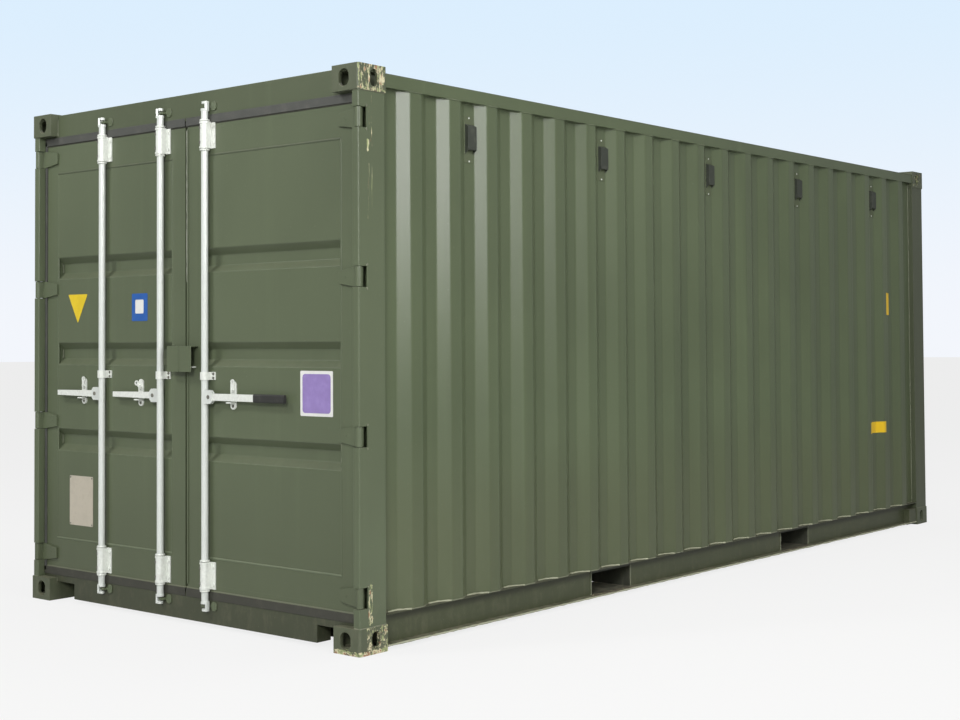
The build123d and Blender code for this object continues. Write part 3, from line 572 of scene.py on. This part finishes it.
# Rounded frame and door pieces
for node, width, steps in (
        ("corner_castings_top", 0.010, 4), ("corner_castings_bottom", 0.010, 4),
        ("door_posts", 0.0032, 3), ("front_posts", 0.004, 2), ("door_header", 0.003, 2),
        ("door_sill", 0.003, 2), ("front_top_rail", 0.004, 2), ("front_bottom_rail", 0.004, 2),
        ("bottom_side_rails", 0.0015, 2), ("hinge_lugs", 0.002, 2), ("keepers", 0.0025, 2),
        ("left_vents", 0.003, 2), ("right_vents", 0.003, 2)):
    rounded(node, width, steps)
for side in ("left_door", "right_door"):
    for part, width in (("frame", 0.0008), ("hinge_blades", 0.003), ("bar_brackets", 0.0022),
                        ("lock_box", 0.002), ("handle_retainers", 0.0018), ("seal", 0.004)):
        rounded(f"{side}_{part}", width)
for bar in bars:
    for part, width in (("lock_bar", 0.002), ("cams", 0.002), ("handle", 0.0018), ("catch", 0.0015)):
        rounded(f"{bar}_{part}", width)

for node, bend in (("left_wall", 0.008), ("right_wall", 0.008), ("front_wall", 0.007),
                   ("left_door_panel", 0.004), ("right_door_panel", 0.004)):
    folded(node, bend)

# Welds where the side walls meet their rails, following the waves, with pale strips of painted highlight on
# the ledges
wave = [(-wall_end - 0.001, valley_y)]
for index in range(20):
    start = wave_start + index * wave_pitch
    wave += [(start, valley_y), (start + 0.068, skin_y)]
    wave += [(start + 0.140, skin_y), (start + 0.208, valley_y)]
wave.append((wall_end + 0.001, valley_y))
for side, sign in (("left", 1), ("right", -1)):
    wall = f"{side}_wall"
    foot = [(x, sign * (y - 0.0005), rail_top) for x, y in wave]
    top = [(x, sign * (y + 0.0005), wall_top) for x, y in wave]
    pale = [[(x - 0.066, sign * 1.181, 0.1625), (x, sign * 1.181, 0.1625),
             (x + 0.058, sign * 1.2122, 0.1625)] for x, y in wave[1:-1:4]]
    bead(f"{wall}_foot_weld", wall, weld_paint, [foot], 0.0030)
    # Pale strips on the ledge at the wall foot: painted highlight
    bead(f"{wall}_foot_highlight_strips", wall, ledge_highlight_paint, pale, 0.0048)
    bead(f"{wall}_head_weld", wall, wall_paint, [top], 0.0032)
    end_y = sign * (valley_y + 0.001)
    ends = [[(x, end_y, 0.163), (x, end_y, 2.499)] for x in (-wall_end, wall_end)]
    bead(f"{wall}_end_weld", wall, weld_paint, ends, 0.0032, step=0.02)
    # The rail's lower lip in pale paint: painted highlight
    flange = [(-2.845, sign * 1.2125, 0.0215), (2.845, sign * 1.2125, 0.0215)]
    bead(f"{side}_rail_lower_edge", "bottom_side_rails", ledge_highlight_paint, [flange], 0.0045,
         step=0.03, uneven=0.3)

# Welds at the fork pocket mouths
mouth = []
for sign in (-1, 1):
    for middle in (-pocket_middle, pocket_middle):
        for x in (middle - pocket_half, middle + pocket_half):
            mouth.append([(x, sign * 1.171, 0.026), (x, sign * 1.171, 0.153)])
            mouth.append([(x, sign * 1.172, 0.158), (x, sign * 1.2125, 0.158)])
bead("pocket_welds", "fork_pockets", weld_paint, mouth, 0.0035, step=0.01)

# Straps under the pocket mouths, scraped by forks
for side, sign in (("left", 1), ("right", -1)):
    for end, middle in (("door", -pocket_middle), ("far", pocket_middle)):
        y_low, y_high = sorted((sign * flange_y, sign * 0.930))
        strip(f"{side}_{end}_pocket_lip", "fork_pockets", rusty_paint,
              (middle - 0.184, y_low, 0.0206), (middle + 0.184, y_high, 0.0256), 0.0018)

# Welds round the castings where the posts and end beams meet them
post_welds = []
for y_sign in (-1, 1):
    side_y = y_sign * flange_y
    for level in (0.1185, 2.4725):
        post_welds.append([(-3.0225, y_sign * 1.176, level), (-3.0225, y_sign * 1.205, level),
                           (-3.0150, side_y, level), (-2.853, side_y, level)])
        post_welds.append([(2.853, side_y, level), (3.0205, side_y, level),
                           (3.0225, y_sign * 1.205, level), (3.0225, y_sign * 1.115, level)])
    for top, bottom in ((2.561, 2.475), (0.117, 0.099)):
        post_welds.append([(-2.9815, y_sign * 1.0575, top), (-2.9815, y_sign * 1.0575, bottom)])
bead("casting_welds", "door_posts", weld_paint, post_welds, 0.003)
lug_welds = []
for y_sign in (-1, 1):
    for level in hinge_levels:
        for z_sign in (-1, 1):
            z = level + z_sign * 0.047
            lug_welds.append([(-2.9715, y_sign * 1.2125, z),
                              (-2.9690, y_sign * flange_y, z + z_sign * 0.010)])
bead("lug_welds", "door_posts", weld_paint, lug_welds, 0.0042, step=0.004)

# Seams of the door panels: soft filled joints, the head one darker as a painted shadow line, upright ends and
# the folds' lips
seam_x, upright_x, face_x, fold_x = leaf_x + 0.0040, leaf_x + 0.0050, leaf_x + 0.001, leaf_x + 0.034
for side, (low, high) in panel_span.items():
    panel = f"{side}_panel"
    for edge, z, finish in (("foot", panel_bottom, lip_paint), ("head", panel_top, seam_shadow_paint)):
        bead(f"{panel}_{edge}_seam", panel, finish, [[(seam_x, low, z), (seam_x, high, z)]],
             0.0070, uneven=0.06, step=0.05, sides=3)
    uprights = [[(upright_x, y, panel_bottom), (upright_x, y, panel_top)] for y in (low, high)]
    bead(f"{panel}_side_seams", panel, door_paint_low_shade, uprights,
         0.0070, uneven=0.06, step=0.05, sides=3)
    ends, lips = [], []
    for middle in recess_middles:
        for y in (low, high):
            ends.append([(face_x, y, middle - 0.062), (face_x, y, middle + 0.062)])
            ends.append([(fold_x, y, middle - 0.022), (fold_x, y, middle + 0.022)])
        lips.append([(leaf_x + 0.0015, low, middle - 0.060), (leaf_x + 0.0015, high, middle - 0.060)])
    bead(f"{side}_recess_welds", panel, weld_paint, ends, 0.0028)
    bead(f"{side}_recess_lips", panel, lip_paint, lips, 0.0022, step=0.03, uneven=0.4)

# Gasket lips that lap the header, the sill and the posts, over thin edges of the leaf; the dark edge under the
# head gasket is a painted shadow line
lip_front, lip_back = -2.9845, -2.9815
edge_front, lip_skin, in_leaf = leaf_x - 0.0022, leaf_x - 0.0002, leaf_x + 0.02
for side, (low, high) in door_span.items():
    if side == "left_door":
        left, right_side, post_left = low - 0.004, high + 0.009, high - 0.007
    else:
        left, right_side, post_left = low - 0.009, high + 0.004, low - 0.009
    for name, part, finish, front, back, ends, (foot, top), corner, steps in (
            ("head_gasket", "seal", seal_rubber, lip_front, lip_back, (left, right_side),
             (2.427, 2.467), 0.0014, 4),
            ("foot_gasket", "seal", dark_rubber_and_shadow, lip_front, lip_back, (left, right_side),
             (0.131, 0.171), 0.0014, 4),
            ("head_shadow_line", "frame", dark_rubber_and_shadow, edge_front, in_leaf, (left, right_side),
             (2.4215, 2.4285), 0.0010, 3),
            ("foot_edge", "frame", weld_paint, edge_front, in_leaf, (left, right_side),
             (0.1695, 0.1765), 0.0010, 3),
            ("head_lip", "frame", door_paint_low_shade, lip_skin, in_leaf, (low, high),
             (2.400, 2.4225), 0.0008, 3),
            ("foot_lip", "frame", door_paint_low_shade, lip_skin, in_leaf, (low, high),
             (0.1755, 0.200), 0.0008, 3),
            ("post_gasket", "seal", seal_rubber, lip_front, leaf_x - 0.0004,
             (post_left, post_left + 0.016), (0.150, 2.450), 0.0014, 4)):
        strip(f"{side}_{name}", f"{side}_{part}", finish, (front, ends[0], foot),
              (back, ends[1], top), corner, steps)

# Meeting strip down the right leaf, which laps the gap, with a pale bead on its edge as a painted highlight
strip("meeting_strip", "right_door_frame", door_paint_low_shade, (leaf_x - 0.004, -0.018, 0.192),
      (leaf_x, -0.007, 2.410), 0.0015)
bead("meeting_strip_edge", "right_door_frame", edge_highlight_paint,
     [[(leaf_x - 0.0038, -0.0078, 1.66), (leaf_x - 0.0038, -0.0078, 2.405)]], 0.0013, step=0.03, uneven=0.5)

# The header's front plate stands above the roof's edge
strip("header_upstand", "door_header", shaded_header_paint, (-2.981, -1.057, 2.558),
      (-2.976, 1.057, 2.585), 0.0022)

# Bolts, rivets and hub heads
bolt = hex_bolt(0.0075, 0.005)
small_bolt = hex_bolt(0.005, 0.0035)
rivet = dome(0.0095, 0.005)
bpy.ops.mesh.primitive_torus_add(major_radius=0.0210, minor_radius=0.0036,
                                 major_segments=24, minor_segments=8)
collar = bpy.context.object
bpy.ops.transform.resize(value=(1, 1, 1.35))
stud = dome(0.0045, 0.0025, 12)
for side in ("left_door", "right_door"):
    places, small, rings, studs = [], [], [], []
    for bar, (bar_y, sign, door) in bars.items():
        if door != side:
            continue
        for level in housing_levels:
            places += [(leaf_x - 0.006, bar_y - 0.038, level + rise) for rise in (-0.042, 0.042)]
            small += [(bar_x - 0.0195, bar_y + 0.0110, level + rise) for rise in (-0.036, 0.036)]
            rings += [(bar_x, bar_y, level + rise) for rise in (-0.0715, 0.0715)]
        small += [(leaf_x - 0.006, bar_y - 0.038, guide_level + rise) for rise in (-0.010, 0.010)]
        small.append((leaf_x - 0.006, bar_y + 0.0235, guide_level))
        catch_y = bar_y + sign * 0.180
        small.append((leaf_x - 0.006, catch_y, handle_level - 0.042))
        studs.append((leaf_x - 0.016, catch_y, handle_level + 0.038))
    scatter(bolt, f"{side}_bracket_bolts", f"{side}_bar_brackets", zinc_coat, places)
    scatter(small_bolt, f"{side}_guide_bolts", f"{side}_bar_brackets", dark_bolt, small)
    scatter(collar, f"{side}_bearing_rings", f"{side}_bar_brackets", zinc_coat, rings, (0, 0, 0))
    scatter(stud, f"{side}_catch_pin_heads", f"{side}_handle_retainers", zinc_coat, studs)
for bar, (bar_y, sign, door) in bars.items():
    hub = (bar_x - 0.0155, bar_y + sign * 0.042, handle_level)
    scatter(rivet, f"{bar}_hub_rivet", f"{bar}_lock_bar", dark_bolt, [hub])

# Rivets that hold the hinge blades
blade_rivets = {"left_door": [], "right_door": []}
for y_sign, side in ((1, "left_door"), (-1, "right_door")):
    for level in hinge_levels:
        blade_rivets[side] += [(leaf_x - 0.012, y_sign * 1.098, level)]
    scatter(stud, f"{side}_blade_rivets", f"{side}_hinge_blades", door_paint_low_shade, blade_rivets[side])

# Blank stickers and the data plate
blue_film = grained("blue_film", rgb(38, 92, 168), 0.35, 0.1, rgb(120, 140, 170))
white_film = grained("white_film", rgb(226, 226, 222), 0.4, 0.2, rgb(190, 188, 180))
purple_film = grained("purple_film", rgb(146, 126, 184), 0.4, 0.15, rgb(170, 160, 196))
yellow_film = grained("yellow_film", rgb(226, 196, 40), 0.4, 0.15, rgb(190, 176, 90))
grey_plate = grained("grey_plate", rgb(190, 182, 166), 0.4, 0.5, rgb(150, 142, 126))
plate("left_door_triangle", "left_door_panel", yellow_film, leaf_x, 0.8835, 1.5705, 0.167, 0.151, sides=3)
plate("left_door_blue_film", "left_door_panel", blue_film, leaf_x, 0.3645, 1.5445, 0.125, 0.139)
plate("left_door_blue_panel", "left_door_panel", white_film, leaf_x - 0.0008, 0.366, 1.548, 0.066, 0.070,
      thick=0.0004)
plate("right_door_white_film", "right_door_panel", white_film, leaf_x, -0.904, 1.1325, 0.208, 0.205)
plate("right_door_purple_film", "right_door_panel", purple_film, leaf_x - 0.0008, -0.904, 1.1325, 0.180, 0.177,
      thick=0.0004, corner=0.016)
plate("data_plate", "left_door_panel", grey_plate, leaf_x, 0.850, 0.5365, 0.200, 0.259, thick=0.0015)
scatter(stud, "data_plate_rivets", "left_door_panel", dark_bolt,
        [(leaf_x - 0.0015, 0.850 + y, 0.5365 + z) for y in (-0.092, 0.092) for z in (-0.121, 0.121)])

# Vent screws
for side, sign in (("left", 1), ("right", -1)):
    spots = []
    for index in range(2, 21, 4):
        x = vent_start + index * wave_pitch
        spots += [(x, sign * 1.180, vent_level + rise) for rise in (-0.104, 0.104)]
    scatter(stud, f"{side}_vent_screws", f"{side}_vents", zinc_coat, spots, (sign * -90, 0, 0))

# Lock box: backing flange and the small staple inside it
strip("lock_box_flange", "left_door_lock_box", door_paint_low_shade, (leaf_x - 0.004, 0.090, 1.220),
      (leaf_x, 0.105, 1.356), 0.0012)
strip("lock_box_cover_lip", "right_door_lock_box", door_paint_low_shade, (-3.0283, -0.0035, 1.224),
      (-3.0266, 0.0012, 1.346), 0.0006)
bpy.ops.mesh.primitive_torus_add(major_radius=0.012, minor_radius=0.0028,
                                 major_segments=24, minor_segments=8,
                                 location=(leaf_x - 0.016, -0.070, 1.246),
                                 rotation=(0, 0, math.radians(25)))
staple = bpy.context.object
bpy.ops.transform.resize(value=(1, 1, 1.15))
settle(staple, "lock_box_staple", "right_door_lock_box", zinc_coat)

for master in (bolt, small_bolt, rivet, stud, collar):
    bpy.data.objects.remove(master)

# Studio: a pale floor, a pale sky and soft lamps
bpy.ops.object.select_all(action="DESELECT")
bpy.ops.mesh.primitive_circle_add(vertices=96, radius=93, fill_type="NGON",
                                  location=(0, 0, -0.0015))
ground = bpy.context.object
ground.name = "ground"
ground_finish, ground_shader, _, _ = new_finish("ground_finish")
feed(ground_shader, "Base Color", rgb(190, 190, 188))
feed(ground_shader, "Roughness", 0.9)
tree = ground_finish.node_tree
lights = Wire(tree, tree.nodes.new("ShaderNodeLightPath").outputs["Is Camera Ray"])
glow = lights.through("Emission", {}, {"Color": rgb(254, 254, 254), "Strength": 1.0})
solid = Wire(tree, ground_shader.outputs["BSDF"])
mixed = lights.through("MixShader", {}, {0: lights * 0.82, 1: solid, 2: glow})
tree.links.new(mixed.socket, tree.nodes["Material Output"].inputs["Surface"])
ground.data.materials.append(ground_finish)

world = bpy.data.worlds.new("studio")
bpy.context.scene.world = world
world.use_nodes = True
tree = world.node_tree
tree.nodes.clear()
direction = Wire(tree, tree.nodes.new("ShaderNodeTexCoord").outputs["Generated"])
path = tree.nodes.new("ShaderNodeLightPath")
seen = Wire(tree, path.outputs["Is Camera Ray"]) + Wire(tree, path.outputs["Is Transmission Ray"])
mirrored = Wire(tree, path.outputs["Is Glossy Ray"])
sky = direction.axis("Z").step(-0.013, 0.24).blend(rgb(243, 246, 252), rgb(219, 238, 254))
soft = direction.through("Background", {}, {"Color": rgb(238, 240, 240), "Strength": 0.36})
shown = direction.through("Background", {}, {"Color": sky, "Strength": 1.0})
reflected = direction.through("Background", {}, {"Color": rgb(238, 240, 240), "Strength": 0.4})
lit = direction.through("MixShader", {}, {0: mirrored, 1: soft, 2: reflected})
both = direction.through("MixShader", {}, {0: seen.clamp(), 1: lit, 2: shown})
output = tree.nodes.new("ShaderNodeOutputWorld")
tree.links.new(both.socket, output.inputs["Surface"])


def lamp(name, place, target, size, power):
    bpy.ops.object.light_add(type="AREA", location=place)
    light = bpy.context.object
    light.name = name
    light.data.shape = "RECTANGLE"
    light.data.size, light.data.size_y = size
    light.data.energy = power
    light.rotation_euler = (Vector(target) - Vector(place)).to_track_quat("-Z", "Y").to_euler()


lamp("key_lamp", (-10.1, 3.05, 9.8), (-3, 0, 1.3), (1.2, 1.2), 330)
lamp("door_lamp", (-6.4, 1.5, 5.2), (-3, 0, 2.2), (1.5, 1.5), 60)
lamp("slope_lamp", (-3.6, -8.0, 3.8), (-3.3, -1.2, 2.0), (2.1, 3.6), 275)
lamp("side_lamp", (-1.4, -7.6, 7.6), (-0.4, -1.2, 1.3), (5.0, 1.6), 50)
lamp("front_lamp", (-14.2, -7.6, 6.4), (-3.0, -1.2, 1.3), (2.4, 2.4), 1050)
lamp("top_lamp", (1.0, -1.0, 8.0), (0.5, 0, 0), (6.0, 5.0), 260)

scene = bpy.context.scene
scene.view_settings.view_transform = "Standard"
